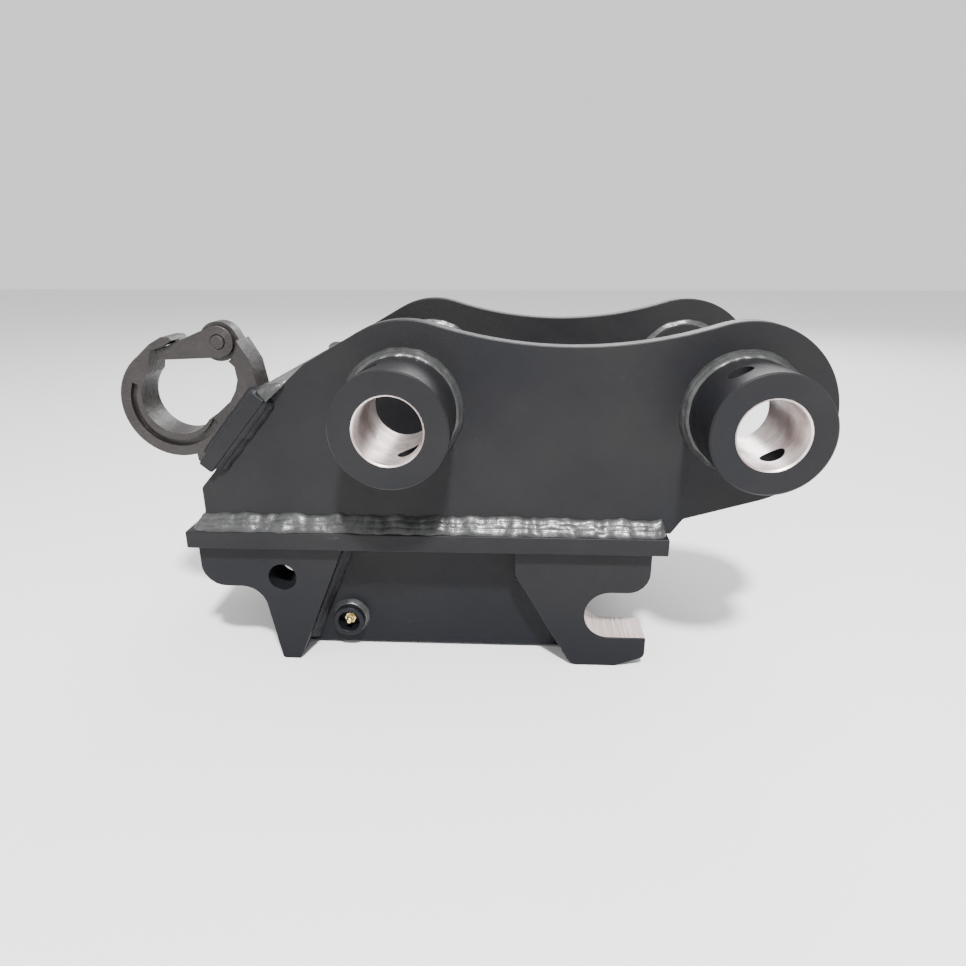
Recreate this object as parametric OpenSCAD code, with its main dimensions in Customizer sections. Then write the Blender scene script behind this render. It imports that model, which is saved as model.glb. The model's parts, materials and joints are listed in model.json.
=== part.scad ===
// Quick coupler for an excavator: two ears on a base plate above, a fixed hook jaw and a
// rear saddle with a hydraulic sliding lock below, and a lifting hook on the rear nose.
// Frame: the origin is the middle of the dipper arm pin's axis. +X points forward, the way
// the fixed jaw opens, +Y is the machine's left side and +Z is up. All sizes are in mm.

/* [Upper pins] */
// Diameter of the two upper pin bores
pin_bore_d = 60; // [50:1:68]
// Distance between the dipper pin and the link pin
pin_spacing = 320; // [300:4:384]
// Height of the pin axes above the base plate
pin_height = 124; // [116:1:150]
// Wall of the pin bosses
boss_wall = 22.5; // [16:0.5:24]
// How far each boss stands out of its ear
boss_reach = 83; // [60:1:110]
// Diameter of the keeper bolt hole through each boss
keeper_hole_d = 22; // [14:1:26]

/* [Ears and base] */
// Clear width between the ears
ear_gap = 242; // [210:2:290]
// Thickness of the ear plates
ear_t = 18; // [12:1:22]
// Thickness of the base plate
base_t = 18; // [12:1:25]
// How far the base plate stands out beyond the ears
base_ledge = 14.5; // [12:0.5:22]

/* [Jaws] */
// Diameter of the bucket pins
bucket_pin_d = 50; // [44:1:60]
// Distance between the two bucket pins
jaw_spacing = 385; // [375:1:462]
// Forward jaw's pin, measured back from the dipper pin
jaw_offset = 112; // [100:1:125]
// Thickness of the hook and saddle plates
side_t = 45; // [36:1:50]
// Steel above the bucket pins, under the base plate
seat_depth = 48; // [40:1:60]

/* [Lock] */
// Travel of the lock bars
lock_stroke = 50; // [40:1:50]
// Bore of the lock cylinder
cylinder_bore_d = 50; // [40:1:50]

/* [Lifting hook] */
// Thickness of the lifting hook
lift_hook_t = 34; // [26:1:40]
// Lifting hook's middle, measured from the coupler's middle
lift_hook_y = -112; // [-125:1:0]

/* [Hidden] */
$fn = 96;

touch = 0.01;
slide_gap = 0.3;

// Widths, measured from the coupler's middle
ear_inner_y = ear_gap / 2;
ear_outer_y = ear_inner_y + ear_t;
base_half_w = ear_outer_y + base_ledge;
side_outer_y = base_half_w - 12.5;
side_inner_y = side_outer_y - side_t;
housing_t = 12;
housing_outer_y = side_inner_y + housing_t;

// Heights
base_top = -pin_height;
base_bottom = base_top - base_t;
seat_r = bucket_pin_d / 2 + 1;
jaw_z = base_bottom - seat_depth - seat_r;
lip_t = 34;
tip_z = jaw_z - seat_r - lip_t;

// Stations along the length
jaw_x = -jaw_offset;
rear_x = jaw_x - jaw_spacing;
base_front = jaw_x + 52;
base_rear = min(rear_x - 46, -pin_spacing - 223);
ear_front = base_front + 3;
ear_rear = base_rear + 17;

// Bosses and ear lobes
boss_od = pin_bore_d + 2 * boss_wall;
boss_inner_stub = 4;
boss_len = boss_reach + ear_t + boss_inner_stub;
lobe_r = boss_od / 2 + 35;
lobe_drop = 3.5;
rear_lobe_x = -pin_spacing + 4;
valley_z = 60;
toe_z = base_top + 16;
keeper_tilt = 26;
keeper_inset = 33;

// Nose plate, on a slope across the rear ends of the ears
nose_angle = 50;
nose_t = 15;
nose_len = 94;
nose_low = -42;
nose_half_w = ear_outer_y + 11;
nose_foot = [ear_rear + 14, base_top + 58];
nose_head = nose_foot + 100 * [cos(nose_angle), sin(nose_angle)];
nose_origin_u = 46;
nose_head_u = 100 - nose_origin_u;
shoulder_slope = 42;
ear_shoulder = nose_head + 48 * [cos(shoulder_slope), sin(shoulder_slope)];

// Lock
cylinder_z = base_bottom - 63;
front_cross_x = jaw_x - 56;
front_cross_t = 18;
flange_t = 24;
spigot = 8;
piston_t = 20;
gland_t = 24;
gland_flange_t = 6;
barrel_x1 = front_cross_x - flange_t;
piston_x1 = barrel_x1 - spigot;
gland_x1 = piston_x1 - piston_t - lock_stroke - 2;
barrel_x0 = gland_x1 - gland_t;
barrel_wall = 8;
barrel_od = cylinder_bore_d + 2 * barrel_wall;
flange_w = barrel_od + 18;
rod_d = 28;
thread_d = 20;
yoke_t = 24;
yoke_x1 = barrel_x0 - gland_flange_t - 4;
yoke_x0 = yoke_x1 - yoke_t;
bar_h = 24;
bar_w = 50;
bar_top = jaw_z - bucket_pin_d / 2 - 1;
bar_bottom = bar_top - bar_h;
bar_y = side_inner_y - 16 - bar_w / 2;
bar_nose_x = rear_x + 35;
guide_x1 = yoke_x0 - lock_stroke - 3;
guide_x0 = rear_x + 45;
guide_top = bar_top + 8;
guide_bottom = tip_z + 1;
rear_cross_x = rear_x + 65;
rear_cross_t = 16;
cover_t = 5;
cover_bottom = tip_z + 1.5;
cover_top = cover_bottom + cover_t;

// Grease nipple and its welded guard ring
nipple_x = rear_x + 106;
nipple_z = guide_top - 7;
guard_od = 34;
guard_id = 23;
guard_h = 14;

// Lifting hook, drawn with u up the nose plate and v away from it
hook_origin = nose_foot + [-sin(nose_angle), cos(nose_angle)] * nose_t
    + nose_origin_u * [cos(nose_angle), sin(nose_angle)];
latch_pivot = [60, 56];
latch_lean = 139;
latch_reach = 63;
latch_wall = 4;
latch_end_r = 15.5;
latch_pin_d = 13;
lug_t = 16;
lug_r = 19;
latch_w = lug_t + 2 * (slide_gap + 0.1 + latch_wall);
bow = [-14, 54.5];
bow_r = 54.5;
bowl = [-10, 55];
bowl_r = 35.5;

paint = [0.20, 0.20, 0.21];
bare_steel = [0.62, 0.58, 0.56];
bright_steel = [0.75, 0.76, 0.78];
forged = [0.27, 0.24, 0.22];
brass = [0.78, 0.62, 0.28];
rubber = [0.05, 0.05, 0.05];
weld_metal = [0.30, 0.30, 0.30];

// ---------------------------------------------------------------- geometry helpers

function unit(v) = v / norm(v);

// Points of a rounded corner at b between the edges towards a and c.
function corner(a, b, c, r, steps = 6) =
    let (u = unit(a - b), w = unit(c - b), half = acos(u * w) / 2,
         p = u * r / tan(half), q = w * r / tan(half), m = unit(u + w) * r / sin(half))
    [for (i = [0 : steps]) b + m + r * unit((p - m) * (1 - i / steps) + (q - m) * i / steps)];

// A closed outline whose corners [x, z, radius] are rounded where the radius isn't 0.
function rounded(pts) =
    let (n = len(pts), xy = [for (p = pts) [p[0], p[1]]])
    [for (i = [0 : n - 1]) each pts[i][2] == 0 ? [xy[i]] :
        corner(xy[(i + n - 1) % n], xy[i], xy[(i + 1) % n], pts[i][2])];

// Where a line from p touches a circle, on its left (side = 1) or right (side = -1).
function tangent_point(p, centre, r, side) =
    let (d = centre - p, reach = sqrt(norm(d) * norm(d) - r * r),
         a = atan2(d[1], d[0]) + side * asin(r / norm(d)))
    p + reach * [cos(a), sin(a)];

function angle_from(centre, p) = atan2(p[1] - centre[1], p[0] - centre[0]);

// Points of an arc between two angles.
function arc(centre, r, from, to, steps) =
    [for (i = [0 : steps]) let (a = from + (to - from) * i / steps) centre + r * [cos(a), sin(a)]];

// An outline drawn in X and Z, made t thick from y0 on.
module slab(y0, t) {
    translate([0, y0 + t, 0])
        rotate([90, 0, 0])
            linear_extrude(t) children();
}

// A slab on one side of the middle: side is 1 for the left and -1 for the right.
module side_slab(side, y0, t) {
    slab(side > 0 ? y0 : -y0 - t, t) children();
}

module cylinder_y(x, y0, z, len, d) {
    translate([x, y0 + len, z])
        rotate([90, 0, 0]) cylinder(h = len, d = d);
}

module cylinder_x(x0, y, z, len, d) {
    translate([x0, y, z])
        rotate([0, 90, 0]) cylinder(h = len, d = d);
}

module box(x, y, z) {
    translate([x[0], y[0], z[0]])
        cube([x[1] - x[0], y[1] - y[0], z[1] - z[0]]);
}

// ---------------------------------------------------------------- base and ears

module base_plate() {
    window = [130, 56];
    color(paint)
    difference() {
        box([base_rear, base_front], [-base_half_w, base_half_w], [base_bottom, base_top]);
        // Window for the two lock hoses
        box([front_cross_x - window[0], front_cross_x],
            [-window[1] / 2, window[1] / 2], [base_bottom - 1, base_top + 1]);
    }
}

// Outline of an ear: two round lobes with a hollow top edge between them.
module ear_outline() {
    front = [0, -lobe_drop];
    rear = [rear_lobe_x, -lobe_drop];
    half = -rear_lobe_x / 2;
    rise = valley_z + lobe_drop;
    // Radius of the hollow whose arc meets both lobes and passes through the valley
    hollow_r = (half * half + rise * rise - lobe_r * lobe_r) / (2 * (lobe_r - rise));
    hollow = [-half, valley_z + hollow_r];
    lean = atan2(hollow[1] - front[1], half);
    front_toe = [ear_front + 11, toe_z];
    polygon(concat(
        arc(rear, lobe_r, angle_from(rear, tangent_point(ear_shoulder, rear, lobe_r, 1)), lean, 16),
        arc(hollow, hollow_r, 180 + lean, 360 - lean, 24),
        arc(front, lobe_r, 180 - lean,
            angle_from(front, tangent_point(front_toe, front, lobe_r, -1)), 56),
        [
            front_toe, [ear_front, base_top], [ear_rear, base_top],
            [ear_rear, nose_foot[1] - 16], nose_foot, nose_head, ear_shoulder
        ]
    ));
}

module ear_plate(side) {
    color(paint)
    difference() {
        side_slab(side, ear_inner_y, ear_t) ear_outline();
        for (x = [0, -pin_spacing])
            cylinder_y(x, -base_half_w, 0, 2 * base_half_w, boss_od);
    }
}

module ear_plate_right() { ear_plate(-1); }
module ear_plate_left() { ear_plate(1); }

// A pin boss: a thick tube through the ear with a keeper bolt hole across it.
module pin_boss(x, side) {
    chamfer = 1.5;
    inner_y = ear_inner_y - boss_inner_stub;
    color(paint)
    translate([x, side * inner_y, 0])
    rotate([-90 * side, 0, 0])
    difference() {
        rotate_extrude()
            polygon([
                [pin_bore_d / 2, 1], [pin_bore_d / 2 + 1, 0], [boss_od / 2 - 1, 0],
                [boss_od / 2, 1], [boss_od / 2, boss_len - chamfer],
                [boss_od / 2 - chamfer, boss_len], [pin_bore_d / 2 + chamfer, boss_len],
                [pin_bore_d / 2, boss_len - chamfer]
            ]);
        translate([0, 0, boss_len - keeper_inset])
            rotate([0, 0, -side * keeper_tilt])
                rotate([90, 0, 0])
                    cylinder(h = 2 * boss_od, d = keeper_hole_d, center = true);
    }
}

module dipper_boss_right() { pin_boss(0, -1); }
module dipper_boss_left() { pin_boss(0, 1); }
module link_boss_right() { pin_boss(-pin_spacing, -1); }
module link_boss_left() { pin_boss(-pin_spacing, 1); }

// ---------------------------------------------------------------- hook and saddle plates

module hook_outline() {
    mouth_x = jaw_x + 39;
    difference() {
        polygon(rounded([
            [jaw_x - 100, base_bottom, 0],
            [jaw_x - 99, base_bottom - 30, 10],
            [jaw_x - 38, tip_z, 12],
            [jaw_x + 8, tip_z, 12],
            [mouth_x, tip_z + 11, 7],
            [mouth_x, jaw_z - seat_r, 2],
            [mouth_x - 10, jaw_z - seat_r, 0],
            [mouth_x - 10, jaw_z + seat_r, 0],
            [mouth_x, jaw_z + seat_r, 22],
            [mouth_x, base_bottom, 0]
        ]));
        translate([jaw_x, jaw_z]) circle(seat_r);
        translate([jaw_x, jaw_z - seat_r]) square([60, 2 * seat_r]);
    }
}

module hook_plate(side) {
    color(paint)
    side_slab(side, side_inner_y, side_t) hook_outline();
}

module hook_plate_right() { hook_plate(-1); }
module hook_plate_left() { hook_plate(1); }

saddle_tip_x = rear_x + 37;
saddle_heel_x = rear_x + 56;
saddle_back_x = rear_x + 111;

module saddle_outline() {
    seat_z = jaw_z + seat_r;
    seat = [rear_x, jaw_z];
    difference() {
        polygon(rounded([
            [rear_x - 40, base_bottom, 0],
            [rear_x - 40, seat_z, 24],
            [rear_x, seat_z, 0],
            [rear_x, jaw_z, 0],
            [rear_x + 10, jaw_z - 10, 0],
            concat(tangent_point([saddle_tip_x, tip_z], seat, seat_r, -1), 0),
            [saddle_tip_x, tip_z, 4],
            [saddle_heel_x, tip_z, 4],
            [saddle_back_x, base_bottom, 0]
        ]));
        translate(seat) circle(seat_r);
    }
}

safety_hole_d = 29;
safety_hole = [rear_x + 44.5, base_bottom - 37];

module saddle_plate(side) {
    color(paint)
    difference() {
        side_slab(side, side_inner_y, side_t) saddle_outline();
        cylinder_y(safety_hole[0], -base_half_w, safety_hole[1], 2 * base_half_w, safety_hole_d);
    }
}

module saddle_plate_right() { saddle_plate(-1); }
module saddle_plate_left() { saddle_plate(1); }

// ---------------------------------------------------------------- housing

// Side wall of the housing: fills the space between the saddle and the hook plates.
module housing_side(side) {
    bottom = tip_z + 4;
    color(paint)
    side_slab(side, side_inner_y, housing_t)
    difference() {
        translate([saddle_heel_x - 2, bottom])
            square([jaw_x - 36 - saddle_heel_x + 2, base_bottom - bottom]);
        saddle_outline();
        hook_outline();
    }
}

module housing_side_right() { housing_side(-1); }
module housing_side_left() { housing_side(1); }

module front_cross_plate() {
    color(paint)
    difference() {
        box([front_cross_x, front_cross_x + front_cross_t],
            [-side_inner_y, side_inner_y], [tip_z + 4, base_bottom]);
        at_flange_corners()
            cylinder_x(front_cross_x - 1, 0, 0, front_cross_t + 2, 10);
    }
}

module rear_cross_plate() {
    color(paint)
    box([rear_cross_x, rear_cross_x + rear_cross_t],
        [-side_inner_y, side_inner_y], [guide_top, base_bottom]);
}

// Block across the rear of the housing with a window for each lock bar.
module lock_guide_block() {
    color(paint)
    difference() {
        box([guide_x0, guide_x1], [-side_inner_y, side_inner_y], [guide_bottom, guide_top]);
        for (side = [-1, 1])
            translate([0, side * bar_y, 0])
                box([guide_x0 - 1, guide_x1 + 1],
                    [-bar_w / 2 - slide_gap, bar_w / 2 + slide_gap],
                    [bar_bottom - slide_gap, bar_top + slide_gap]);
    }
}

// Places its children at the four corners where the bottom cover is screwed on.
module at_cover_corners() {
    for (x = [guide_x1 + 14, front_cross_x - 14], side = [-1, 1])
        translate([x, side * (side_inner_y - 6.5), 0]) children();
}

module bottom_cover() {
    color(paint)
    difference() {
        box([guide_x1 + 1, front_cross_x - 1],
            [-side_inner_y + 0.5, side_inner_y - 0.5], [cover_bottom, cover_top]);
        at_cover_corners() translate([0, 0, cover_bottom]) screw_shape(touch);
    }
}

module cover_lugs() {
    color(paint)
    at_cover_corners()
    difference() {
        translate([-10, -6.5, cover_top]) cube([20, 13, 18]);
        translate([0, 0, cover_bottom]) cylinder(h = 30, d = 6);
    }
}

// Countersunk screw standing on its head; grow widens it to make its own hole.
module screw_shape(grow = 0) {
    translate([0, 0, -grow])
    rotate_extrude()
        polygon([
            [0, 0], [6 + grow, 0], [3, 3 + grow], [3, 16], [0, 16]
        ]);
}

module cover_screws() {
    color(bright_steel)
    at_cover_corners()
    translate([0, 0, cover_bottom])
    difference() {
        screw_shape();
        cylinder(h = 4, d = 4.6, $fn = 6, center = true);
    }
}

// ---------------------------------------------------------------- lock cylinder

module at_flange_corners() {
    reach = flange_w / 2 - 11;
    for (y = [-reach, reach], z = [-reach, reach])
        translate([0, y, cylinder_z + z]) children();
}

module cylinder_barrel() {
    color(paint)
    difference() {
        union() {
            cylinder_x(barrel_x0, 0, cylinder_z, barrel_x1 - barrel_x0, barrel_od);
            translate([gland_x1 - 12, 0, cylinder_z])
                cylinder(h = barrel_od / 2 + 9, d = gland_t - 2);
        }
        cylinder_x(barrel_x0 - 1, 0, cylinder_z, barrel_x1 - barrel_x0 + 2, cylinder_bore_d);
        translate([gland_x1 - 12, 0, cylinder_z]) cylinder(h = barrel_od, d = 12);
    }
}

module cylinder_end_cap() {
    port_x = barrel_x1 + flange_t / 2;
    color(paint)
    difference() {
        union() {
            box([barrel_x1, front_cross_x], [-flange_w / 2, flange_w / 2],
                [cylinder_z - flange_w / 2, cylinder_z + flange_w / 2]);
            cylinder_x(piston_x1, 0, cylinder_z, spigot, cylinder_bore_d);
        }
        at_flange_corners() cylinder_x(barrel_x1 - 1, 0, 0, flange_t + 2, 10);
        translate([port_x, 0, cylinder_z]) cylinder(h = flange_w, d = 12);
        cylinder_x(piston_x1 - 1, 0, cylinder_z, port_x - piston_x1 + 1, 8);
        cylinder_y(port_x, -flange_w / 2 - 1, cylinder_z, flange_w / 2 - 8, 12);
    }
}

module cap_screws() {
    color(bright_steel)
    at_flange_corners() {
        cylinder_x(barrel_x1, 0, 0, flange_t + front_cross_t - 3, 10);
        difference() {
            cylinder_x(barrel_x1 - 10, 0, 0, 10, 16);
            translate([barrel_x1 - 11, 0, 0])
                rotate([0, 90, 0]) cylinder(h = 6, d = 9.2, $fn = 6);
        }
    }
}

module cylinder_gland() {
    color(bare_steel)
    difference() {
        union() {
            cylinder_x(barrel_x0, 0, cylinder_z, gland_t, cylinder_bore_d);
            cylinder_x(barrel_x0 - gland_flange_t, 0, cylinder_z, gland_flange_t, barrel_od);
        }
        cylinder_x(barrel_x0 - 10, 0, cylinder_z, gland_t + 12, rod_d + 2 * slide_gap);
        cylinder_x(barrel_x0 + 8, 0, cylinder_z, 6, rod_d + 8);
        cylinder_x(barrel_x0 - gland_flange_t - 1, 0, cylinder_z, 6, rod_d + 7);
    }
}

module ring_x(x0, len, outer_d, inner_d) {
    difference() {
        cylinder_x(x0, 0, cylinder_z, len, outer_d);
        cylinder_x(x0 - 1, 0, cylinder_z, len + 2, inner_d);
    }
}

module rod_seal() {
    color(rubber) ring_x(barrel_x0 + 8, 6, rod_d + 8, rod_d + 2 * slide_gap);
}

module rod_wiper() {
    color(rubber) ring_x(barrel_x0 - gland_flange_t, 5, rod_d + 7, rod_d + 2 * slide_gap);
}

// Load-holding valve cartridge screwed into the side of the end cap.
module lock_valve() {
    x = barrel_x1 + flange_t / 2;
    color(bright_steel) {
        cylinder_y(x, -flange_w / 2 - 8, cylinder_z, 8 + flange_w / 2 - 12, 12);
        translate([x, -flange_w / 2 - 8, cylinder_z])
            rotate([90, 0, 0]) cylinder(h = 10, d = 22, $fn = 6);
    }
}

module hose_adapter(x, z) {
    translate([x, 0, z]) {
        translate([0, 0, -8]) cylinder(h = 8, d = 12);
        cylinder(h = 8, d = 21, $fn = 6);
        translate([0, 0, 8]) cylinder(h = 8, d = 14);
    }
}

module hose_adapters() {
    color(bright_steel) {
        hose_adapter(barrel_x1 + flange_t / 2, cylinder_z + flange_w / 2);
        hose_adapter(gland_x1 - 12, cylinder_z + barrel_od / 2 + 9);
    }
}

module cylinder_piston() {
    x0 = piston_x1 - piston_t;
    color(bare_steel)
    difference() {
        cylinder_x(x0, 0, cylinder_z, piston_t, cylinder_bore_d - 2 * slide_gap);
        ring_x(x0 + 7, 6, cylinder_bore_d + 2, cylinder_bore_d - 8);
        cylinder_x(x0 - 1, 0, cylinder_z, piston_t - 3, thread_d);
    }
}

module piston_seal() {
    color(rubber)
    ring_x(piston_x1 - piston_t + 7, 6, cylinder_bore_d - 2 * slide_gap, cylinder_bore_d - 8);
}

module cylinder_rod() {
    piston_x0 = piston_x1 - piston_t;
    rod_end = yoke_x0 - 20;
    color(bright_steel) {
        cylinder_x(yoke_x1, 0, cylinder_z, piston_x0 - yoke_x1, rod_d);
        cylinder_x(piston_x0, 0, cylinder_z, piston_t - 4, thread_d);
        cylinder_x(rod_end, 0, cylinder_z, yoke_x1 - rod_end, thread_d);
    }
}

module rod_nut() {
    color(bright_steel)
    difference() {
        translate([yoke_x0 - 16, 0, cylinder_z])
            rotate([0, 90, 0]) cylinder(h = 16, d = 34.6, $fn = 6);
        cylinder_x(yoke_x0 - 17, 0, cylinder_z, 18, thread_d);
    }
}

// Crosshead that joins the rod to both lock bars.
module lock_yoke() {
    half_w = bar_y + bar_w / 2;
    color(paint)
    difference() {
        translate([yoke_x0, 0, 0])
        rotate([90, 0, 90])
        linear_extrude(yoke_t)
        polygon(rounded([
            [-half_w, bar_bottom, 3], [half_w, bar_bottom, 3],
            [half_w, bar_top + 4, 6], [28, cylinder_z + 24, 14],
            [-28, cylinder_z + 24, 14], [-half_w, bar_top + 4, 6]
        ]));
        cylinder_x(yoke_x0 - 1, 0, cylinder_z, yoke_t + 2, thread_d);
        at_bar_screws() cylinder_x(yoke_x0 - 1, 0, 0, yoke_t + 2, 10);
    }
}

module at_bar_screws() {
    for (side = [-1, 1], offset = [-14, 14])
        translate([0, side * bar_y + offset, (bar_top + bar_bottom) / 2]) children();
}

// Lock bar: a flat bar whose nose is bevelled on top so that it slips under the pin.
module lock_bar(side) {
    color(bright_steel)
    difference() {
        side_slab(side, bar_y - bar_w / 2, bar_w)
        polygon([
            [bar_nose_x, bar_bottom + 3], [bar_nose_x + 3, bar_bottom],
            [yoke_x0, bar_bottom], [yoke_x0, bar_top],
            [bar_nose_x + 24, bar_top], [bar_nose_x, bar_top - 8]
        ]);
        at_bar_screws() cylinder_x(yoke_x0 - 24, 0, 0, 25, 10);
    }
}

module lock_bar_right() { lock_bar(-1); }
module lock_bar_left() { lock_bar(1); }

module lock_bar_screws() {
    color(bright_steel)
    at_bar_screws()
    difference() {
        union() {
            cylinder_x(yoke_x0 - 22, 0, 0, yoke_t + 22, 10);
            cylinder_x(yoke_x1, 0, 0, 3.5, 16);
        }
        translate([yoke_x1 + 1, 0, 0]) rotate([0, 90, 0]) cylinder(h = 4, d = 9.2, $fn = 6);
    }
}

// ---------------------------------------------------------------- grease points

module nipple_shape() {
    cylinder(h = 5, d = 12.7, $fn = 6);
    rotate_extrude()
        polygon([
            [0, 5], [4, 5], [4, 6.5], [2.4, 7.5], [2.4, 9],
            [3.25, 10], [3.25, 12], [2, 13.5], [0, 13.5]
        ]);
}

module grease_nipples() {
    color(brass)
    for (side = [-1, 1])
        translate([nipple_x, side * housing_outer_y, nipple_z])
            rotate([-90 * side, 0, 0]) nipple_shape();
}

module nipple_guards() {
    color(paint)
    for (side = [-1, 1])
        translate([nipple_x, side * housing_outer_y, nipple_z])
        rotate([-90 * side, 0, 0])
        difference() {
            cylinder(h = guard_h, d = guard_od);
            translate([0, 0, -1]) cylinder(h = guard_h + 2, d = guard_id);
        }
}

// ---------------------------------------------------------------- nose and lifting hook

// Puts an outline drawn in u and v onto the nose plate, t thick around y.
module on_nose(y, t) {
    translate([hook_origin[0], 0, hook_origin[1]])
        rotate([0, -nose_angle, 0])
            slab(y - t / 2, t) children();
}

module nose_plate() {
    color(paint)
    on_nose(0, 2 * nose_half_w)
        translate([nose_low, -nose_t]) square([nose_len, nose_t]);
}

// Outline of the hook: foot, lug round the latch's pin, eye, tip and the bow round the eye.
module lifting_hook_outline() {
    polygon(concat(
        [[50, 0], [66, 19]],
        arc(latch_pivot, lug_r, -30, 250, 28),
        [[52.5, 29], [44, 20], [34, 15.5], [22, 13.5], [4, 16.5]],
        arc(bowl, bowl_r, -85, -275, 24),
        [[12.5, 100.8], [25.2, 92.6], [34, 89.5], [35, 93], [30, 99.5], [17, 104.5]],
        arc(bow, bow_r, 75, 235, 24),
        [[-50, 5], [-50, 0]]
    ));
}

module lifting_hook() {
    groove_depth = 5;
    recess_r = lug_r + 1.5;
    spring_slot = 8;
    color(forged)
    difference() {
        on_nose(lift_hook_y, lift_hook_t) lifting_hook_outline();
        for (face = [-1, 1]) {
            // Groove that leaves a rib and a rim along the bow
            on_nose(lift_hook_y + face * lift_hook_t / 2, 2 * groove_depth)
                polygon(concat(
                    arc(bow, bow_r - 16, 105, 285, 24), arc(bow, bow_r - 10, 285, 105, 24)
                ));
            // Recess that takes a cheek of the latch
            on_nose(lift_hook_y + face * (lug_t / 2 + lift_hook_t), 2 * lift_hook_t)
                along_latch()
                polygon(concat(
                    arc([0, 0], recess_r, 90, 270, 16),
                    [[recess_r, -recess_r], [recess_r, recess_r]]
                ));
        }
        // Slot in the lug that takes the spring
        on_nose(lift_hook_y, spring_slot)
            along_latch()
            polygon(concat(arc([0, 0], 9.5, 90, 270, 16), [[lug_r + 1, -9.5], [lug_r + 1, 9.5]]));
        on_nose(lift_hook_y, lift_hook_t + 2) translate(latch_pivot) circle(d = latch_pin_d);
    }
}

// Draws an outline with its first axis along the latch, from the pin to the latch's tip.
module along_latch() {
    translate(latch_pivot) rotate(latch_lean) children();
}

// Pin riveted flush with the outer faces of the latch's cheeks.
module latch_pin() {
    color(bright_steel)
    on_nose(lift_hook_y, latch_w + 1) translate(latch_pivot) circle(d = latch_pin_d);
}

// Latch: a folded channel whose cheeks straddle the lug; it closes the hook from inside.
module hook_latch() {
    outer_edge = [[63, -2], [50, -4], [40, -6.5], [14, -12.5]];
    inner_edge = [[10, 14], [45, 10], [latch_reach, 8]];
    web = 3.5;
    color(forged)
    difference() {
        on_nose(lift_hook_y, latch_w)
            along_latch()
            polygon(concat(outer_edge, arc([0, 0], latch_end_r, 300, 60, 20), inner_edge));
        // Room between the cheeks, under the web that joins them
        on_nose(lift_hook_y, latch_w - 2 * latch_wall)
            along_latch()
            polygon([
                [-latch_end_r - 2, -latch_end_r - 2], [lug_r + 3, -latch_end_r - 2],
                [lug_r + 3, web - 11], [50, web - 4.5], [50, latch_end_r + 2],
                [-latch_end_r - 2, latch_end_r + 2]
            ]);
        on_nose(lift_hook_y, lift_hook_t)
            translate(latch_pivot) circle(d = latch_pin_d + 2 * slide_gap);
    }
}

// Torsion spring round the latch's pin, drawn as touching coils.
module latch_spring() {
    wire = 1.6;
    coils = 4;
    pitch = wire + 0.05;
    mid_d = latch_pin_d + 2 * slide_gap + wire;
    color(bright_steel)
    translate([hook_origin[0], lift_hook_y, hook_origin[1]])
    rotate([0, -nose_angle, 0])
    translate([latch_pivot[0], 0, latch_pivot[1]])
    rotate([90, 0, 0])
    for (i = [0 : coils - 1])
        translate([0, 0, (i - (coils - 1) / 2) * pitch])
            rotate_extrude() translate([mid_d / 2, 0]) circle(d = wire, $fn = 16);
}

// ---------------------------------------------------------------- welds

// Fillet weld right round the foot of an ear.
module ear_weld(side) {
    rise = 15;
    inner = 8;
    rim = 1.5;
    color(weld_metal)
    difference() {
        hull() {
            mirror([0, side < 0 ? 1 : 0, 0])
                box([base_rear + rim, base_front - rim],
                    [ear_inner_y - inner, base_half_w - rim], [base_top, base_top + 0.5]);
            mirror([0, side < 0 ? 1 : 0, 0])
                box([ear_rear - 1, ear_front + 8],
                    [ear_inner_y - 1, ear_outer_y + 1], [base_top, base_top + rise]);
        }
        side_slab(side, ear_inner_y, ear_t)
            polygon([[ear_front + 11, toe_z], [ear_front, base_top], [ear_rear, base_top],
                     [ear_rear, toe_z + 10], [ear_front + 11, toe_z + 10]]);
    }
}

module ear_weld_right() { ear_weld(-1); }
module ear_weld_left() { ear_weld(1); }

// Weld ring round a boss: legs of the given sizes along the boss and along the ear.
module boss_weld(x, y, along_boss, along_ear) {
    translate([x, y, 0])
        rotate([-90, 0, 0])
            rotate_extrude()
                polygon([[boss_od / 2, 0], [boss_od / 2 + along_ear, 0],
                         [boss_od / 2, along_boss]]);
}

module boss_welds() {
    color(weld_metal)
    for (x = [0, -pin_spacing], side = [0, 1])
        mirror([0, side, 0]) {
            boss_weld(x, ear_outer_y, 10, 6);
            boss_weld(x, ear_inner_y, -boss_inner_stub + 0.5, 6);
        }
}

module nose_welds() {
    leg = 10;
    head = nose_low + nose_len;
    color(weld_metal)
    for (side = [-1, 1]) {
        // Under the plate, along the ear's outer face
        translate([hook_origin[0], side * ear_outer_y, hook_origin[1]])
            rotate([0, -nose_angle, 0])
                translate([nose_low + 4, 0, -nose_t])
                    rotate([90, 0, 90])
                        linear_extrude(nose_len - 8)
                            polygon([[0, 0], [side * leg, 0], [0, -leg]]);
        // Across the head of the plate, on the ear's top edge
        on_nose(side * (ear_inner_y + ear_t / 2), ear_t)
            polygon([
                [head, 0], [head, -nose_t], [nose_head_u, -nose_t],
                [nose_head_u + 18, -nose_t - 18 * tan(nose_angle - shoulder_slope)], [head + 12, -4]
            ]);
    }
}

module lifting_hook_welds() {
    leg = 7;
    color(weld_metal)
    translate([hook_origin[0], lift_hook_y, hook_origin[1]])
    rotate([0, -nose_angle, 0])
    for (side = [-1, 1])
        translate([nose_low + 2, side * lift_hook_t / 2, 0])
            rotate([90, 0, 90])
                linear_extrude(50 - nose_low - 4)
                    polygon([[0, 0], [side * leg, 0], [0, leg]]);
}

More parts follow.
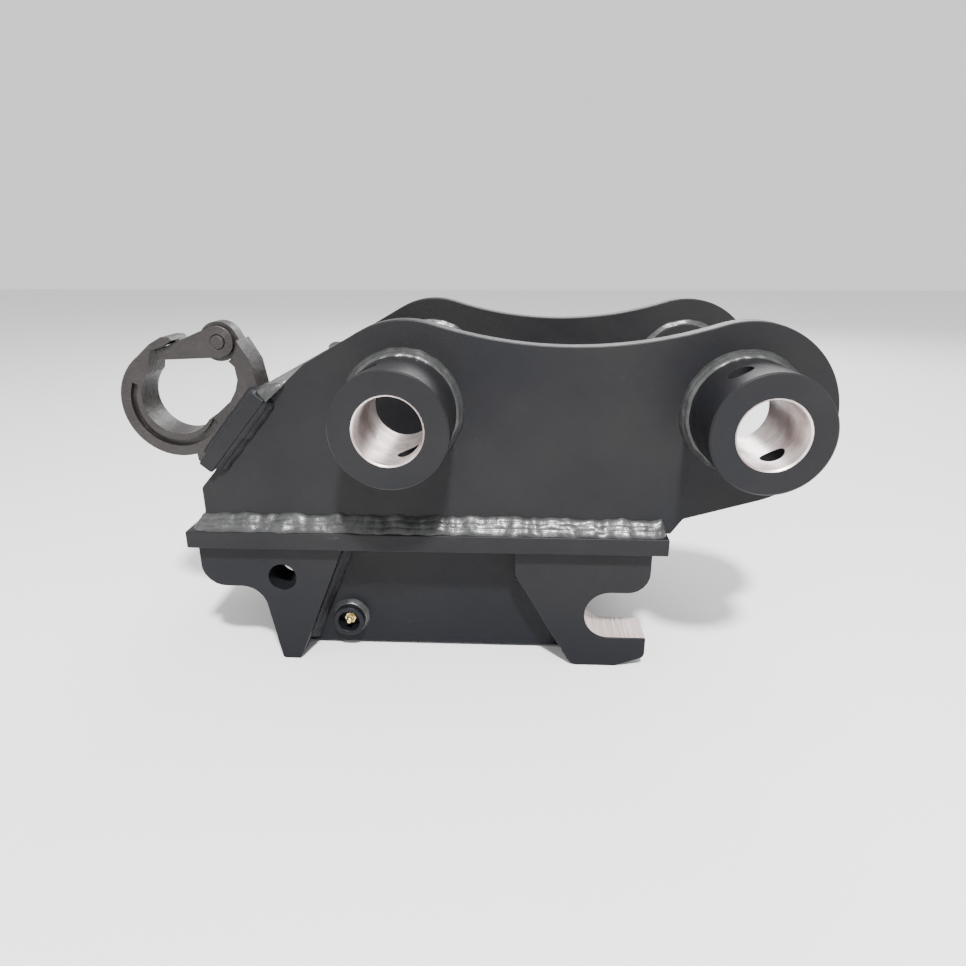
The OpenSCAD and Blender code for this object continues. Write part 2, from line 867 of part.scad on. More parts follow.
// Fillets in the corners between the housing walls and the thick plates.
module housing_welds() {
    leg = 10;
    seam = [jaw_x - 225, jaw_x - 130];
    color(weld_metal)
    for (side = [0, 1])
    mirror([0, side, 0]) {
        corner_weld([saddle_heel_x, tip_z], [saddle_back_x, base_bottom], leg, 1);
        corner_weld([jaw_x - 38, tip_z], [jaw_x - 99, base_bottom - 30], leg, -1);
        // Short seam under the base plate
        translate([seam[0], housing_outer_y, base_bottom])
            rotate([90, 0, 90])
                linear_extrude(seam[1] - seam[0]) polygon([[0, 0], [8, 0], [0, -8]]);
    }
}

// A fillet along a slanted plate edge, against the housing's outer face: it lies forward of
// the edge (side = 1) or behind it (side = -1), clear of the edge's ends.
module corner_weld(foot, head, leg, side) {
    run = unit(head - foot);
    margin = 14;
    start = foot + margin * run;
    translate([start[0], housing_outer_y, start[1]])
        rotate([0, 90 - atan2(run[1], run[0]), 0])
            linear_extrude(norm(head - foot) - 2 * margin)
                polygon([[0, 0], [side * leg, 0], [0, leg]]);
}

module nipple_guard_welds() {
    color(weld_metal)
    for (side = [-1, 1])
        translate([nipple_x, side * housing_outer_y, nipple_z])
            rotate([-90 * side, 0, 0])
                rotate_extrude()
                    polygon([[guard_od / 2, 0], [guard_od / 2 + 4, 0], [guard_od / 2, 6]]);
}

// ---------------------------------------------------------------- nodes

base_plate();
ear_plate_right();
ear_plate_left();
dipper_boss_right();
dipper_boss_left();
link_boss_right();
link_boss_left();
hook_plate_right();
hook_plate_left();
saddle_plate_right();
saddle_plate_left();
housing_side_right();
housing_side_left();
front_cross_plate();
rear_cross_plate();
lock_guide_block();
bottom_cover();
cover_lugs();
cover_screws();
cylinder_barrel();
cylinder_end_cap();
cap_screws();
cylinder_gland();
rod_seal();
rod_wiper();
lock_valve();
hose_adapters();
cylinder_piston();
piston_seal();
cylinder_rod();
rod_nut();
lock_yoke();
lock_bar_right();
lock_bar_left();
lock_bar_screws();
grease_nipples();
nipple_guards();
nose_plate();
lifting_hook();
latch_pin();
hook_latch();
latch_spring();
ear_weld_right();
ear_weld_left();
boss_welds();
nose_welds();
lifting_hook_welds();
housing_welds();
nipple_guard_welds();
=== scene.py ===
"""Looks of the quick coupler: softened plates, weld beads, paint, bare steel, light and camera."""

import json
import math

import bmesh
import bpy
from mathutils import Matrix, Vector, noise


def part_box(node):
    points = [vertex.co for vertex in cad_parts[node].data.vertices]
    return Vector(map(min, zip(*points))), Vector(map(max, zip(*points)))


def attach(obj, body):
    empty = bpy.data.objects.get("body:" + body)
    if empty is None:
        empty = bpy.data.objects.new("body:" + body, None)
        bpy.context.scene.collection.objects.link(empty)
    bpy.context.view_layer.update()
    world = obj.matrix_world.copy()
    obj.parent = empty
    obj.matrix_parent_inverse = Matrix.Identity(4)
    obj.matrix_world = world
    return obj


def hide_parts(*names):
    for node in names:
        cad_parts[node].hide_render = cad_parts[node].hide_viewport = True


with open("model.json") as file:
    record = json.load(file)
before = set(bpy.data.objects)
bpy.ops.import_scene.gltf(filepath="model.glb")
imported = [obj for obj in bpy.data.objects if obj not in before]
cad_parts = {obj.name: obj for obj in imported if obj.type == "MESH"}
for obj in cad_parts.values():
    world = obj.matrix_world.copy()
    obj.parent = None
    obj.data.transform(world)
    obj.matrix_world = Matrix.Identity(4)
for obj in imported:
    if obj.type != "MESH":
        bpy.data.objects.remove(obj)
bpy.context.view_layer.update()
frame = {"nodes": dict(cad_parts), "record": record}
nodes = frame["nodes"]
MM = 0.001
X, Y, Z = Vector((1, 0, 0)), Vector((0, 1, 0)), Vector((0, 0, 1))
BODIES = frame["record"]["behaviour"]["bodies"]
SIDES = ((-1, "right"), (1, "left"))


# ---------------------------------------------------------------- sizes from the frame

def low(node):
    return Vector(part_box(node)[0])


def high(node):
    return Vector(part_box(node)[1])


def middle(node):
    return (low(node) + high(node)) / 2


FLOOR = low("hook_plate_right").z
BASE_TOP = high("base_plate").z
BASE_BOTTOM = low("base_plate").z
BOSS_R = (high("dipper_boss_right").x - low("dipper_boss_right").x) / 2
BOSS_END = high("dipper_boss_left").y
PIN_BORE_R = 30 * MM
JAW_PLATE_REAR = low("hook_plate_right").x
EAR_OUTER = high("ear_plate_left").y
EAR_INNER = low("ear_plate_left").y
LINK_X = middle("link_boss_right").x
HOUSING_OUTER = high("housing_side_left").y

# The nose plate slopes up to the rear; its box holds its length and thickness, both turned
NOSE_ANGLE = math.radians(50)
NOSE_UP = Vector((math.cos(NOSE_ANGLE), 0, math.sin(NOSE_ANGLE)))
NOSE_OUT = Vector((-math.sin(NOSE_ANGLE), 0, math.cos(NOSE_ANGLE)))
NOSE_SPAN = high("nose_plate") - low("nose_plate")
NOSE_T = (NOSE_SPAN.x * NOSE_UP.z - NOSE_SPAN.z * NOSE_UP.x) / (NOSE_UP.z ** 2 - NOSE_UP.x ** 2)
NOSE_LEN = (NOSE_SPAN.z - NOSE_T * NOSE_UP.x) / NOSE_UP.z
NOSE_FOOT = Vector((high("nose_plate").x - NOSE_LEN * NOSE_UP.x, 0, low("nose_plate").z))


# ---------------------------------------------------------------- node material helpers

BLACK, WHITE = (0, 0, 0), (1, 1, 1)
NOISE_LOW, NOISE_HIGH = 0.3, 0.7


class Shader:
    """A material under construction, with short ways to add and link nodes."""

    def __init__(self, name):
        self.material = bpy.data.materials.new(name)
        self.material.use_nodes = True
        self.tree = self.material.node_tree
        self.surface = self.tree.nodes["Principled BSDF"]
        self.place = self.tree.nodes.new("ShaderNodeTexCoord").outputs["Object"]

    def link(self, output, target):
        self.tree.links.new(output, target)

    def noise(self, scale, detail=3.0, roughness=0.55, stretch=None):
        node = self.tree.nodes.new("ShaderNodeTexNoise")
        node.inputs["Scale"].default_value = scale
        node.inputs["Detail"].default_value = detail
        node.inputs["Roughness"].default_value = roughness
        source = self.place
        if stretch:
            mapping = self.tree.nodes.new("ShaderNodeMapping")
            mapping.inputs["Scale"].default_value = stretch
            self.link(self.place, mapping.inputs["Vector"])
            source = mapping.outputs["Vector"]
        self.link(source, node.inputs["Vector"])
        return node.outputs["Fac"]

    def ramp(self, factor, *stops):
        """Maps a factor to colours: each stop is (position, colour)."""
        node = self.tree.nodes.new("ShaderNodeValToRGB")
        elements = node.color_ramp.elements
        for i, (position, colour) in enumerate(stops):
            element = elements[i] if i < 2 else elements.new(position)
            element.position = position
            element.color = (*colour, 1)
        self.link(factor, node.inputs["Fac"])
        return node.outputs["Color"]

    def tint(self, factor, first, second):
        """Runs from one colour to another over the middle of a noise factor."""
        return self.ramp(factor, (NOISE_LOW, first), (NOISE_HIGH, second))

    def mask(self, factor, start, full):
        """Black up to the factor's value start, white from full on."""
        return self.ramp(factor, (start, BLACK), (full, WHITE))

    def span(self, factor, smallest, largest):
        """Maps the middle of a noise factor to the given range and stops at its ends."""
        node = self.tree.nodes.new("ShaderNodeMapRange")
        node.inputs["From Min"].default_value = NOISE_LOW
        node.inputs["From Max"].default_value = NOISE_HIGH
        node.inputs["To Min"].default_value = smallest
        node.inputs["To Max"].default_value = largest
        self.link(factor, node.inputs["Value"])
        return node.outputs["Result"]

    def mix(self, factor, a, b):
        node = self.tree.nodes.new("ShaderNodeMix")
        node.data_type = "RGBA"
        for value, socket in ((factor, 0), (a, 6), (b, 7)):
            if isinstance(value, (int, float, tuple)):
                node.inputs[socket].default_value = value
            else:
                self.link(value, node.inputs[socket])
        return node.outputs[2]

    def height(self, bottom, top):
        """0 at the bottom level and below, 1 at the top level and above."""
        split = self.tree.nodes.new("ShaderNodeSeparateXYZ")
        self.link(self.place, split.inputs["Vector"])
        node = self.tree.nodes.new("ShaderNodeMapRange")
        node.inputs["From Min"].default_value = bottom
        node.inputs["From Max"].default_value = top
        self.link(split.outputs["Z"], node.inputs["Value"])
        return node.outputs["Result"]

    def bump(self, *layers):
        """Adds surface relief: each layer is (height output, distance in metres)."""
        normal = None
        for height, distance in layers:
            node = self.tree.nodes.new("ShaderNodeBump")
            node.inputs["Distance"].default_value = distance
            self.link(height, node.inputs["Height"])
            if normal:
                self.link(normal, node.inputs["Normal"])
            normal = node.outputs["Normal"]
        self.link(normal, self.surface.inputs["Normal"])

    def set(self, **values):
        names = {"colour": "Base Color", "metal": "Metallic", "rough": "Roughness",
                 "coat": "Coat Weight", "coat_rough": "Coat Roughness",
                 "specular": "Specular IOR Level"}
        for key, value in values.items():
            socket = self.surface.inputs[names[key]]
            if isinstance(value, tuple):
                socket.default_value = (*value, 1)
            elif isinstance(value, (int, float)):
                socket.default_value = value
            else:
                self.link(value, socket)
        return self.material


# ---------------------------------------------------------------- materials

def charcoal_paint():
    s = Shader("charcoal_paint_satin")
    cool, warm = (0.0075, 0.0078, 0.0100), (0.0140, 0.0133, 0.0135)
    painted_shade_navy, dust, chip = (0.0030, 0.0036, 0.0062, 1), (0.07, 0.065, 0.06, 1), (0.08, 0.08, 0.08, 1)
    clouds = s.tint(s.noise(6, 5, 0.6), cool, warm)
    # Painted shade: the coat's colour gets darker and bluer towards the feet, for the shade that
    # falls below the base plate
    clouds = s.mix(s.height(FLOOR, BASE_TOP), s.mix(0.85, clouds, painted_shade_navy), clouds)
    scuffs = s.mask(s.noise(14, 9, 0.75, stretch=(1, 1, 3)), 0.64, 0.74)
    specks = s.mask(s.noise(260, 3, 0.7), 0.70, 0.78)
    colour = s.mix(scuffs, clouds, s.mix(0.2, clouds, dust))
    colour = s.mix(specks, colour, s.mix(0.2, colour, chip))
    s.bump((s.noise(650, 2), 0.12 * MM), (s.noise(45, 4), 0.7 * MM))
    return s.set(colour=colour, rough=s.span(s.noise(16, 5), 0.36, 0.54), specular=0.16)


def weld_paint(name, dark, light, gloss):
    """Paint on a weld in the given colours; gloss 1 is the wet look of the thick beads, 0 the matt
    one.
    """
    s = Shader(name)
    colour = s.ramp(s.noise(120, 5, 0.7), (0.35, dark), (0.7, light))
    s.bump((s.noise(900, 3), 0.08 * MM), (s.noise(300, 4), 0.3 * MM))
    rough = s.span(s.noise(150, 3), 0.45 - 0.17 * gloss, 0.60 - 0.15 * gloss)
    return s.set(colour=colour, rough=rough, specular=0.2 + 0.2 * gloss,
                 coat=0.15 * gloss, coat_rough=0.15)


def machined_steel():
    s = Shader("machined_steel_bare")
    grey, pale, stain = (0.66, 0.58, 0.56), (0.97, 0.90, 0.88), (0.40, 0.31, 0.29, 1)
    rings = s.noise(30, 3, stretch=(1, 22, 1))
    stained = s.mask(s.noise(22, 4, 0.6), 0.45, 0.72)
    colour = s.mix(stained, s.tint(rings, grey, pale), stain)
    s.bump((rings, 0.3 * MM))
    return s.set(colour=colour, metal=0.85, rough=s.span(s.noise(60, 3), 0.26, 0.44))


def flame_cut_steel():
    s = Shader("flame_cut_steel_bare")
    drag_lines = s.noise(90, 4, stretch=(5, 0.25, 5))
    colour = s.tint(drag_lines, (0.50, 0.41, 0.39), (0.80, 0.71, 0.68))
    s.bump((drag_lines, 1.1 * MM))
    return s.set(colour=colour, metal=0.55, rough=s.span(s.noise(80, 3), 0.38, 0.58))


def zinc_steel():
    s = Shader("zinc_plated_steel")
    colour = s.tint(s.noise(200, 3), (0.55, 0.56, 0.58), (0.72, 0.73, 0.75))
    s.bump((s.noise(900, 2), 0.1 * MM))
    return s.set(colour=colour, metal=1.0, rough=s.span(s.noise(120, 3), 0.25, 0.4))


def forged_steel():
    s = Shader("forged_steel_painted")
    dark, light, rubbed = (0.0095, 0.0076, 0.0072), (0.0190, 0.0155, 0.0145), (0.10, 0.085, 0.08, 1)
    colour = s.tint(s.noise(28, 6, 0.6), dark, light)
    worn = s.mask(s.noise(40, 8, 0.75), 0.60, 0.72)
    colour = s.mix(worn, colour, s.mix(0.3, colour, rubbed))
    s.bump((s.noise(420, 5, 0.7), 0.5 * MM), (s.noise(75, 4), 1.2 * MM))
    return s.set(colour=colour, rough=s.span(s.noise(50, 5), 0.26, 0.44), specular=0.42)


def yellow_brass():
    s = Shader("yellow_zinc_brass")
    colour = s.tint(s.noise(300, 3), (0.55, 0.42, 0.17), (0.80, 0.66, 0.33))
    s.bump((s.noise(900, 2), 0.1 * MM))
    return s.set(colour=colour, metal=0.95, rough=s.span(s.noise(200, 3), 0.22, 0.38))


def seal_rubber():
    s = Shader("seal_rubber_black")
    colour = s.tint(s.noise(80, 3), (0.012, 0.012, 0.012), (0.026, 0.026, 0.026))
    s.bump((s.noise(500, 2), 0.2 * MM))
    return s.set(colour=colour, rough=s.span(s.noise(100, 3), 0.6, 0.8))


MATERIALS = {
    "charcoal_paint": charcoal_paint(),
    "painted_weld": weld_paint(
        "painted_weld_glossy", (0.018, 0.019, 0.019), (0.036, 0.037, 0.036), 1
    ),
    "machined_steel": machined_steel(),
    "zinc_steel": zinc_steel(),
    "forged_steel": forged_steel(),
    "brass": yellow_brass(),
    "seal_rubber": seal_rubber(),
}
CUT_STEEL = flame_cut_steel()
# A matt copy of the weld paint, darker and bluer: painted shade for the beads that lie in shadow
# under the nose plate, beside the lifting hook and in the housing's corners
DULL_SHADED_WELD = weld_paint("painted_weld_dull_shaded", (0.0080, 0.0080, 0.0100), (0.0150, 0.0150, 0.0165), 0)
SLOTS = {part["node"]: part["material_slot"] for part in frame["record"]["subparts"]}


def paint_cad_nodes():
    """Gives every CAD node the material of its slot in the record."""
    for node, slot in SLOTS.items():
        mesh = nodes[node].data
        mesh.materials.clear()
        mesh.materials.append(MATERIALS[slot])


# ---------------------------------------------------------------- pieces made from CAD nodes

SHARP_ANGLE = math.radians(32)


def body_of(node):
    return next(b for b, part in BODIES.items() if node in part)


def new_piece(name, mesh, slot, body, *replaced):
    """Puts a mesh in the scene as a piece of the object that stands for CAD nodes."""
    piece = bpy.data.objects.new(name, mesh)
    bpy.context.collection.objects.link(piece)
    if not mesh.materials:
        mesh.materials.append(MATERIALS[slot])
    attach(piece, body)
    if replaced:
        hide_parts(*replaced)
    return piece


def clean_mesh(node, whole_faces):
    """A copy of a node's mesh with no doubled points and, if asked, with its flat faces whole."""
    grid = bmesh.new()
    grid.from_mesh(nodes[node].data)
    bmesh.ops.remove_doubles(grid, verts=grid.verts, dist=0.01 * MM)
    if whole_faces:
        bmesh.ops.dissolve_limit(
            grid, angle_limit=math.radians(0.5), verts=grid.verts, edges=grid.edges
        )
    grid.verts.index_update()
    mesh = bpy.data.meshes.new(node + "_soft")
    mesh.from_pydata(
        [v.co[:] for v in grid.verts], [], [[v.index for v in f.verts] for f in grid.faces]
    )
    grid.free()
    return mesh


def weigh_edges(mesh, chosen):
    """Gives full bevel weight to the edges whose two ends chosen() picks."""
    weights = mesh.attributes.new("bevel_weight_edge", "FLOAT", "EDGE")
    for edge in mesh.edges:
        a, b = (mesh.vertices[i].co for i in edge.vertices)
        weights.data[edge.index].value = 1.0 if chosen(a) and chosen(b) else 0.0


def soften(node, width, bare=None, bare_material=None, segments=2, whole_faces=True, rims=None):
    """Shows a CAD node with rounded edges; faces that bare(middle, normal) picks are unpainted.

    If rims is given, only the edges between points that rims() picks are rounded.
    """
    mesh = clean_mesh(node, whole_faces)
    slot = SLOTS[node]
    mesh.materials.append(MATERIALS[slot])
    piece = new_piece(node + "_soft", mesh, slot, body_of(node), node)
    mesh.polygons.foreach_set("use_smooth", [True] * len(mesh.polygons))
    mesh.set_sharp_from_angle(angle=SHARP_ANGLE)
    bevel = piece.modifiers.new("rounded_edges", "BEVEL")
    bevel.width = width
    bevel.segments = segments
    bevel.limit_method = "ANGLE"
    bevel.angle_limit = SHARP_ANGLE
    if rims:
        weigh_edges(mesh, rims)
        bevel.limit_method = "WEIGHT"
    bevel.harden_normals = True
    graph = bpy.context.evaluated_depsgraph_get()
    rounded = bpy.data.meshes.new_from_object(piece.evaluated_get(graph))
    piece.modifiers.clear()
    piece.data = rounded
    if bare:
        rounded.materials.append(bare_material)
        for face in rounded.polygons:
            if bare(face.center, face.normal):
                face.material_index = 1
    return piece


# ---------------------------------------------------------------- weld beads

# Steps across each pass, spacing of the ripples, and how far from its end an open bead thins
PASS_STEPS = 7
RIPPLE_PITCH = 2.6 * MM
RUN_OUT = 7 * MM


def weld_noise(along, across, seed, scale):
    return noise.noise(Vector((along * scale, across * scale, seed * 7.3)))


def rounded_back(share, power):
    """Rises from 0 at share 0 to 1 at the half and falls to 0 at share 1."""
    return math.sin(math.pi * share) ** power if 0 < share < 1 else 0


def bead_section(root, toe_a, toe_b, along, passes, crown, rough, seed):
    """Points round a bead: one at its root, then its back from toe to toe."""
    out = ((toe_a + toe_b) / 2 - root).normalized()
    width = (toe_b - toe_a).length
    points = [root - out * 0.4 * MM]
    steps = PASS_STEPS * passes
    for j in range(steps + 1):
        t = j / steps
        lane = min(int(t * passes), passes - 1)
        s = t * passes - lane
        lobe = rounded_back(s, 0.6)
        edge = rounded_back(t, 0.5)
        wave = along / RIPPLE_PITCH + 0.9 * (2 * s - 1) ** 2 + 0.37 * lane
        ripple = 0.09 * MM * math.sin(math.tau * wave) * lobe
        lump = 0.9 * MM * weld_noise(along, t * width, seed, 60)
        lump += 0.22 * MM * weld_noise(along, t * width, seed + 5, 200)
        height = crown * width * edge + (ripple + rough * lump + 0.07 * width / passes * lobe) * edge
        points.append(toe_a.lerp(toe_b, t) + out * height)
    return points


def skin(name, points, ring, closed):
    """A mesh over rings of points; an open run of rings gets a cap at each end."""
    count = len(points) // ring
    faces = []
    for i in range(count if closed else count - 1):
        here, there = i * ring, (i + 1) % count * ring
        for j in range(ring):
            k = (j + 1) % ring
            faces.append((here + j, here + k, there + k, there + j))
    if not closed:
        faces.append(tuple(range(ring))[::-1])
        faces.append(tuple((count - 1) * ring + j for j in range(ring)))
    mesh = bpy.data.meshes.new(name)
    mesh.from_pydata(points, [], faces)
    grid = bmesh.new()
    grid.from_mesh(mesh)
    bmesh.ops.recalc_face_normals(grid, faces=grid.faces)
    grid.to_mesh(mesh)
    grid.free()
    mesh.polygons.foreach_set("use_smooth", [True] * len(mesh.polygons))
    mesh.set_sharp_from_angle(angle=math.radians(70))
    return mesh


def bead(name, stations, passes=1, crown=0.10, rough=1.0, closed=False, seed=1, dull_shaded=False):
    """A weld bead over stations of (root, first toe, second toe) along its path.

    Each pass has a rounded back with crescent ripples; the toes wander a little, and the
    ends of an open bead run out.
    """
    lengths = [0.0]
    for here, there in zip(stations, stations[1:]):
        lengths.append(lengths[-1] + ((there[1] + there[2]) / 2 - (here[1] + here[2]) / 2).length)
    wander = 0.14 * rough
    points = []
    for (root, toe_a, toe_b), along in zip(stations, lengths):
        end = min(along, lengths[-1] - along) / RUN_OUT
        swell = 1 if closed else min(1, 0.12 + math.sqrt(max(end, 0)))
        toe_a = root + (toe_a - root) * swell * (1 + wander * weld_noise(along, 0, seed, 90))
        toe_b = root + (toe_b - root) * swell * (1 + wander * weld_noise(along, 1, seed, 90))
        points += bead_section(root, toe_a, toe_b, along, passes, crown, rough, seed)
    mesh = skin(name, points, PASS_STEPS * passes + 2, closed)
    # Beads in shadow take the darker matt copy of the weld paint, which paints their shade
    if dull_shaded:
        mesh.materials.append(DULL_SHADED_WELD)
    return new_piece(name, mesh, "painted_weld", "coupler")


def spaced(start, end, step=1.1 * MM):
    """Values from start to end about a step apart."""
    count = max(2, round(abs(end - start) / step))
    return [start + (end - start) * i / count for i in range(count + 1)]


def fillet(root, way_a, leg_a, way_b, leg_b):
    """One station of a bead: its root and its two toes, a leg away in each direction."""
    return root, root + way_a * leg_a, root + way_b * leg_b


def ear_foot_welds(side):
    """A broad bead in several passes right round the foot of an ear."""
    ear = "ear_plate_left" if side > 0 else "ear_plate_right"
    rear, front = low(ear).x, high("base_plate").x - 1.5 * MM
    outer, inner = side * EAR_OUTER, side * EAR_INNER
    leg_out, leg_in, rise_out, rise_in = 12.5 * MM, 8 * MM, 15.5 * MM, 9 * MM
    quarter = spaced(0, math.pi / 2, math.pi / 18)[1:]
    stations = []
    for x in spaced(front, rear):
        stations.append(fillet(Vector((x, outer, BASE_TOP)), Y * side, leg_out, Z, rise_out))
    for turn in quarter:
        way = Y * side * math.cos(turn) - X * math.sin(turn)
        stations.append(fillet(Vector((rear, outer, BASE_TOP)), way, leg_out, Z, rise_out))
    for y in spaced(outer, inner)[1:]:
        share = (y - outer) / (inner - outer)
        leg = leg_out + (leg_in - leg_out) * share
        rise = rise_out + (rise_in - rise_out) * share
        stations.append(fillet(Vector((rear, y, BASE_TOP)), -X, leg, Z, rise))
    for turn in quarter:
        way = -X * math.cos(turn) - Y * side * math.sin(turn)
        stations.append(fillet(Vector((rear, inner, BASE_TOP)), way, leg_in, Z, rise_in))
    for x in spaced(rear, front)[1:]:
        stations.append(fillet(Vector((x, inner, BASE_TOP)), -Y * side, leg_in, Z, rise_in))
    piece = bead(ear.replace("plate", "foot_bead"), stations, passes=3, crown=0.05, rough=1.3,
                 seed=side + 3)
    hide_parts("ear_weld_left" if side > 0 else "ear_weld_right")


def ring_weld(name, centre, axis, radius, leg_radial, leg_axial, seed):
    """A bead round a boss or a ring that stands on a face."""
    turns = spaced(0, math.tau, 1.3 * MM / radius)[:-1]
    side_way = axis.cross(Z).normalized()
    stations = []
    for turn in turns:
        radial = side_way * math.cos(turn) + Z * math.sin(turn)
        stations.append(fillet(centre + radial * radius, radial, leg_radial, axis, leg_axial))
    return bead(name, stations, passes=2, crown=0.06, rough=1.2, closed=True, seed=seed)


def boss_ring_welds():
    for label, x in (("dipper", 0), ("link", LINK_X)):
        for side, hand in SIDES:
            outside = Vector((x, side * EAR_OUTER, 0))
            inside = Vector((x, side * EAR_INNER, 0))
            seed = side + 11 * (x + 1)
            ring_weld(
                f"{label}_boss_{hand}_bead", outside, Y * side, BOSS_R, 6.5 * MM, 10.5 * MM, seed
            )
            ring_weld(
                f"{label}_boss_{hand}_inner_bead", inside, -Y * side, BOSS_R, 6 * MM, 3.6 * MM,
                seed + 3
            )
    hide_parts("boss_welds")


def nose_point(along, out, y):
    """A point on the nose plate, up its slope from its foot and out from its underside."""
    return NOSE_FOOT + NOSE_UP * along + NOSE_OUT * out + Y * y


def nose_plate_welds():
    under_leg = 10 * MM
    head_leg, head_rise, head_tilt = 21 * MM, 15 * MM, 0.14
    slope = (NOSE_UP * math.cos(head_tilt) - NOSE_OUT * math.sin(head_tilt)).normalized()
    for side, hand in SIDES:
        stations = [
            fillet(nose_point(u, 0, side * EAR_OUTER), Y * side, under_leg, -NOSE_OUT, under_leg)
            for u in spaced(3 * MM, NOSE_LEN + 2 * MM)
        ]
        bead(f"nose_under_{hand}_bead", stations, passes=2, crown=0.04, rough=0.5,
                           seed=side + 21, dull_shaded=True)
        # Heavy bead across the head of the plate, on the ear's top edge
        stations = [
            fillet(nose_point(NOSE_LEN - 0.5 * MM, -1 * MM, y), NOSE_OUT, head_rise, slope, head_leg)
            for y in spaced(side * (EAR_OUTER + 8.5 * MM), side * (EAR_INNER - 5 * MM))
        ]
        bead(f"nose_head_{hand}_bead", stations, passes=2, crown=0.16, rough=2.2,
                           seed=side + 31)
    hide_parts("nose_welds")


def lifting_hook_foot_welds():
    leg = 7 * MM
    for y, way, hand in (
        (low("lifting_hook").y, -Y, "right"),
        (high("lifting_hook").y, Y, "left"),
    ):
        stations = [
            fillet(nose_point(u, NOSE_T, y), way, leg, NOSE_OUT, leg)
            for u in spaced(1 * MM, NOSE_LEN - 2 * MM)
        ]
        bead(f"lifting_hook_{hand}_bead", stations, rough=0.6, seed=y * 100,
                           dull_shaded=True)
    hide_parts("lifting_hook_welds")


def slanted_edge(node, forward):
    """Ends of a plate's slanted lower edge, from its foot up to its widest point."""
    points = [v.co for v in nodes[node].data.vertices]
    pick = max if forward else min
    foot_z = low(node).z
    foot = pick((p for p in points if p.z < foot_z + 0.5 * MM), key=lambda p: p.x)
    reach = pick(p.x for p in points)
    end = min((p for p in points if abs(p.x - reach) < 2 * MM), key=lambda p: p.z)
    return Vector((foot.x, 0, foot.z)), Vector((end.x, 0, end.z))


def housing_corner_welds():
    corner_leg, seam_leg, end_gap = 10 * MM, 8 * MM, 9 * MM
    seam_start, seam_end = 0.28, 0.83
    for side, hand in SIDES:
        wall = Y * side * HOUSING_OUTER
        for node, forward in (("saddle_plate_", True), ("hook_plate_", False)):
            foot, head = slanted_edge(node + hand, forward)
            run = (head - foot).normalized()
            away = Y.cross(run) if forward else run.cross(Y)
            away = away if (away.x > 0) == forward else -away
            stations = [
                fillet(foot + run * s + wall, away, corner_leg, Y * side, corner_leg)
                for s in spaced(end_gap, (head - foot).length - end_gap)
            ]
            bead(f"{node}{hand}_bead", stations, passes=2, crown=0.04, rough=0.8,
                               seed=side + foot.x * 50, dull_shaded=True)
        rear, front = high("saddle_plate_" + hand).x, low("hook_plate_" + hand).x
        room = front - rear
        stations = [
            fillet(Vector((x, 0, BASE_BOTTOM)) + wall, Y * side, seam_leg, -Z, seam_leg)
            for x in spaced(rear + seam_start * room, rear + seam_end * room)
        ]
        bead(f"base_seam_{hand}_bead", stations, seed=side + 41)
    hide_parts("housing_welds")


def guard_ring_welds():
    guard = "nipple_guards"
    radius = (high(guard).x - low(guard).x) / 2
    for side, hand in SIDES:
        centre = Vector((middle(guard).x, side * HOUSING_OUTER, middle(guard).z))
        ring_weld(
            f"nipple_guard_{hand}_bead", centre, Y * side, radius, 4 * MM, 6 * MM, side + 51
        )
    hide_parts("nipple_guard_welds")


# ---------------------------------------------------------------- softened plates

def from_pin_axis(point):
    """Distance of a point from the nearer of the two pins' axes."""
    x = point.x if point.x > LINK_X / 2 else point.x - LINK_X
    return math.hypot(x, point.z)


def in_pin_bore(middle_point, normal):
    """True on a boss's bore and the chamfer at its mouth."""
    chamfer = 1.3 * MM
    return from_pin_axis(middle_point) < PIN_BORE_R + chamfer and abs(normal.y) < 0.9


def on_boss_rim(point):
    """True at the outer end of a boss, on its outer edge."""
    slack = 0.3 * MM
    return abs(from_pin_axis(point) - BOSS_R) < slack and abs(point.y) > BOSS_END - slack


def in_front_jaw(middle_point, normal):
    """True on the flame-cut faces of the jaw, which run across the plate."""
    behind, above, below = 45 * MM, 45 * MM, 30 * MM
    return (
        middle_point.x > JAW_PLATE_REAR + behind
        and abs(normal.y) < 0.3
        and BASE_BOTTOM - above > middle_point.z > FLOOR + below
        and normal.x > -0.9
    )


def soften_plates():
    for hand in ("right", "left"):
        soften("ear_plate_" + hand, 1.3 * MM)
        for boss in ("dipper_boss_", "link_boss_"):
            soften(boss + hand, 0.9 * MM, in_pin_bore, MATERIALS["machined_steel"],
                   whole_faces=False, rims=on_boss_rim)
        soften("hook_plate_" + hand, 1.6 * MM, in_front_jaw, CUT_STEEL)
        soften("saddle_plate_" + hand, 1.6 * MM)
    soften("base_plate", 1.5 * MM)
    soften("nose_plate", 1.8 * MM)
    soften("lifting_hook", 3.2 * MM, segments=3)
    soften("hook_latch", 1.2 * MM)
    soften("nipple_guards", 1.0 * MM)
    soften("bottom_cover", 0.8 * MM)
    soften("lock_guide_block", 0.8 * MM)


# ---------------------------------------------------------------- camera, light and floor

def aim(obj, target):
    direction = Vector(target) - obj.location
    obj.rotation_euler = direction.to_track_quat("-Z", "Y").to_euler()


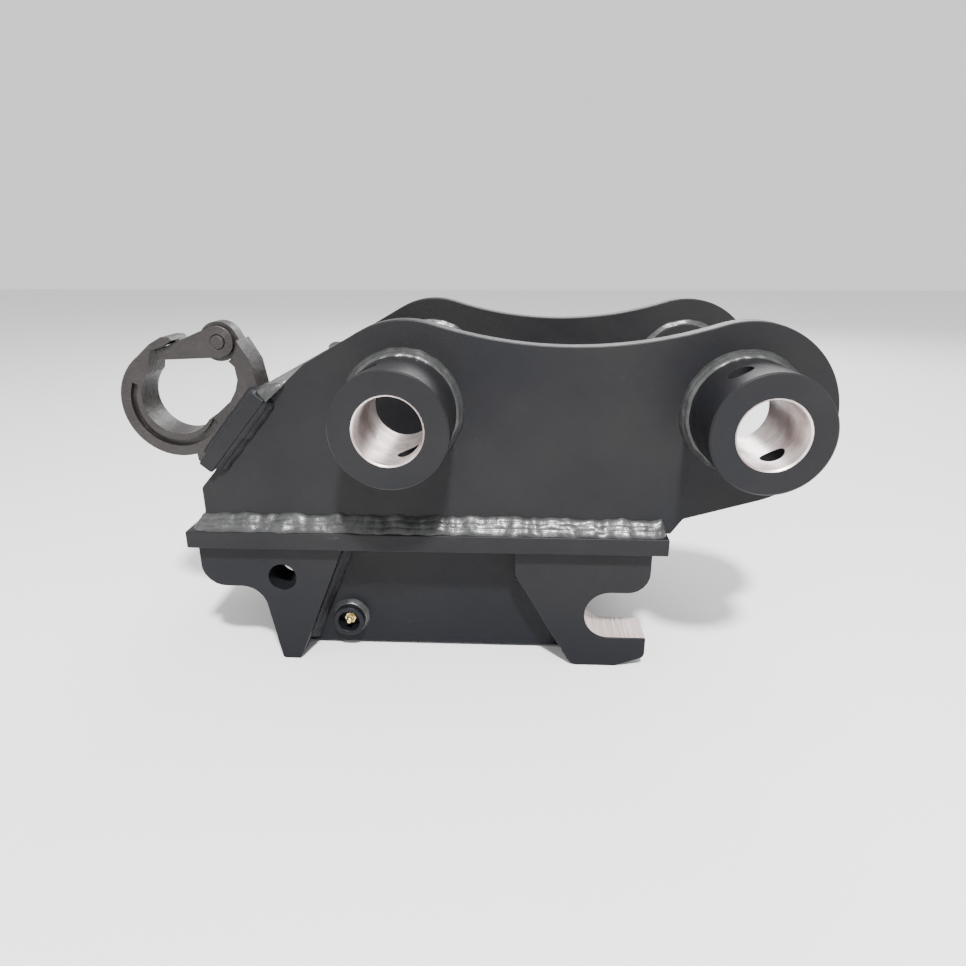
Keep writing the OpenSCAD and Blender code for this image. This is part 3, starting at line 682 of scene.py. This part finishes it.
def build_camera():
    camera = bpy.data.objects.new("camera", bpy.data.cameras.new("camera"))
    bpy.context.collection.objects.link(camera)
    place = Vector((-212.6, -788.1, 151.0)) * MM
    yaw, pitch, roll = -0.0473, 0.3316, -0.0015
    forward = Vector((
        math.sin(yaw) * math.cos(pitch), math.cos(yaw) * math.cos(pitch), -math.sin(pitch)
    ))
    camera.matrix_world = (
        Matrix.Translation(place)
        @ forward.to_track_quat("-Z", "Y").to_matrix().to_4x4()
        @ Matrix.Rotation(roll, 4, "Z")
    )
    camera.data.sensor_width = 36
    camera.data.lens = 26.1
    bpy.context.scene.camera = camera


def area_light(name, location, target, size, power):
    data = bpy.data.lights.new(name, "AREA")
    data.shape = "DISK"
    data.size = size
    data.energy = power
    light = bpy.data.objects.new(name, data)
    bpy.context.collection.objects.link(light)
    light.location = location
    aim(light, target)


def build_stage():
    heart = Vector((LINK_X / 2, 0, BASE_TOP))
    key_tilt = math.radians(51)
    key_way = Vector((0.05, -math.cos(key_tilt), math.sin(key_tilt)))
    area_light("key", heart + 2.6 * key_way, heart, size=0.22, power=200)
    area_light("fill", heart + Vector((-2.2, -1.2, 1.2)), heart, size=1.6, power=14)
    area_light("rim", heart + Vector((0.6, 2.2, 1.6)), heart, size=1.4, power=60)
    mesh = bpy.data.meshes.new("floor")
    reach = 6.0
    corners = [(-reach, -reach), (reach, -reach), (reach, reach), (-reach, reach)]
    mesh.from_pydata([(x, y, FLOOR) for x, y in corners], [], [(0, 1, 2, 3)])
    floor = bpy.data.objects.new("floor", mesh)
    bpy.context.collection.objects.link(floor)
    white = Shader("floor_white").set(colour=(0.8, 0.8, 0.8), rough=0.9, specular=0.2)
    mesh.materials.append(white)
    world = bpy.data.worlds.new("studio")
    world.use_nodes = True
    background = world.node_tree.nodes["Background"]
    background.inputs["Color"].default_value = (1, 1, 1, 1)
    background.inputs["Strength"].default_value = 1.1
    bpy.context.scene.world = world


paint_cad_nodes()
soften_plates()
for hand_side in (-1, 1):
    ear_foot_welds(hand_side)
boss_ring_welds()
nose_plate_welds()
lifting_hook_foot_welds()
housing_corner_welds()
guard_ring_welds()
build_camera()
build_stage()
